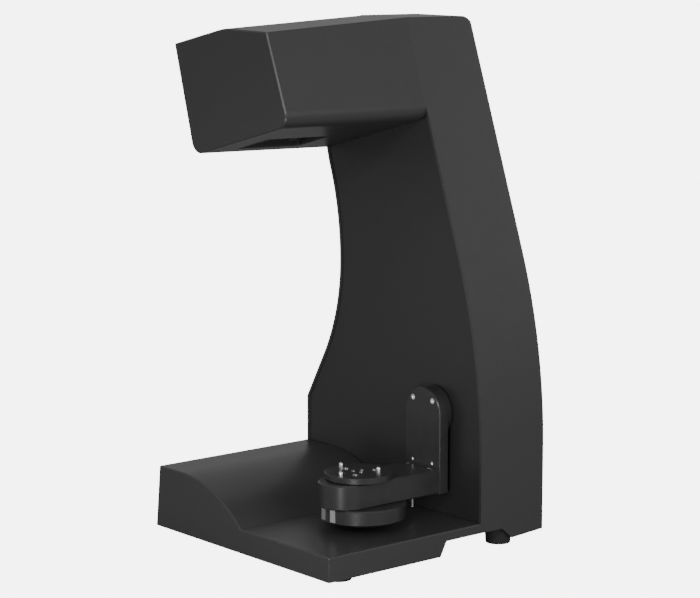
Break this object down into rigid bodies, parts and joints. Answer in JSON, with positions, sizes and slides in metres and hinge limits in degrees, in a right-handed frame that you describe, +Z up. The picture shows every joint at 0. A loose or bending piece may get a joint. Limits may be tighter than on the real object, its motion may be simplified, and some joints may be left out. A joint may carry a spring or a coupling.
{
  "type": "desktop 3d scanner",
  "caption": "Desktop 3D scanner: a C-shaped casing holds a projector and cameras over a swinging arm that carries a motor-driven turntable with locating pins.",
  "frame": {"origin": "on the resting plane, under the middle of the object's box", "axes": "+X to the object's right as seen from the front, +Y to the rear, +Z up"},
  "size_m": [0.262, 0.2642, 0.4908],
  "materials": {
    "casing": "fine matte texture, charcoal",
    "panel": "fine matte texture, near black",
    "arm_metal": "satin black anodised",
    "rubber": "matte",
    "screw": "bright",
    "black_screw": "black oxide",
    "steel": "brushed",
    "sheet": "satin sheet",
    "gear": "machined",
    "glass": "clear, coated",
    "optic_black": "gloss black",
    "board": "solder mask green",
    "motor": "black"
  },
  "bodies": {
    "casing": {"base_shell": "casing", "base_plate": "sheet", "feet": "rubber", "foot_screws": "screw", "base_plate_screws": "screw", "column_shell": "casing", "column_panel": "panel", "head_shell": "casing", "rear_cover": "panel", "rear_cover_screws": "black_screw", "power_inlet": "optic_black", "usb_socket": "steel", "switch_body": "optic_black", "window_bezel": "panel", "window_glass": "glass", "head_frame": "sheet", "projector": "motor", "left_camera": "motor", "right_camera": "motor", "projector_lens": "arm_metal", "camera_lenses": "arm_metal", "lens_glasses": "glass", "column_frame": "sheet", "frame_screws": "screw", "drive_screws": "screw", "bearing_housing": "sheet", "swing_bearings": "steel", "swing_motor": "motor", "board_standoffs": "gear", "control_board": "board", "board_screws": "screw"},
    "swing_arm": {"swing_shaft": "steel", "swing_gear": "gear", "shaft_collar": "steel", "swing_hub": "arm_metal", "bracket_plate": "arm_metal", "bracket_cover": "arm_metal", "hub_screws": "screw", "bracket_screws": "screw", "arm_mount_screws": "screw", "arm_body": "arm_metal", "arm_block": "sheet", "arm_top_screws": "screw", "arm_floor": "arm_metal", "index_pin": "steel", "drive_housing": "arm_metal", "housing_cap": "arm_metal", "housing_clips": "steel", "platform_motor": "motor", "platform_bearings": "steel"},
    "turntable": {"platform": "arm_metal", "platform_screws": "screw", "centre_screws": "screw", "locating_pins": "screw", "platform_shaft": "steel", "platform_gear": "gear"},
    "swing_drive": {"swing_pinion": "steel"},
    "turntable_drive": {"platform_pinion": "steel"},
    "rocker": {"switch_rocker": "optic_black"}
  },
  "joints": [
    {"name": "arm_swing", "type": "hinge", "parent": "casing", "child": "swing_arm", "pos_m": [0.067, 0.04465, 0.1239], "axis": [0, 1, 0], "range_deg": [-90, 90]},
    {"name": "turntable_turn", "type": "hinge", "parent": "swing_arm", "child": "turntable", "pos_m": [0.067, -0.04395, 0.0798], "axis": [0, 0, 1], "continuous": true},
    {"name": "swing_pinion_turn", "type": "hinge", "parent": "casing", "child": "swing_drive", "pos_m": [0.022, 0.04465, 0.1239], "axis": [0, 1, 0], "range_deg": [-362, 362]},
    {"name": "turntable_pinion_turn", "type": "hinge", "parent": "swing_arm", "child": "turntable_drive", "pos_m": [0.067, -0.01995, 0.0737], "axis": [0, 0, 1], "continuous": true},
    {"name": "switch_rock", "type": "hinge", "parent": "casing", "child": "rocker", "pos_m": [0.058, 0.12565, 0.054], "axis": [1, 0, 0], "range_deg": [-16, 0]}
  ],
  "couplings": [
    {"joint": "swing_pinion_turn", "follows": "arm_swing", "ratio": -4},
    {"joint": "turntable_pinion_turn", "follows": "turntable_turn", "ratio": -4}
  ]
}
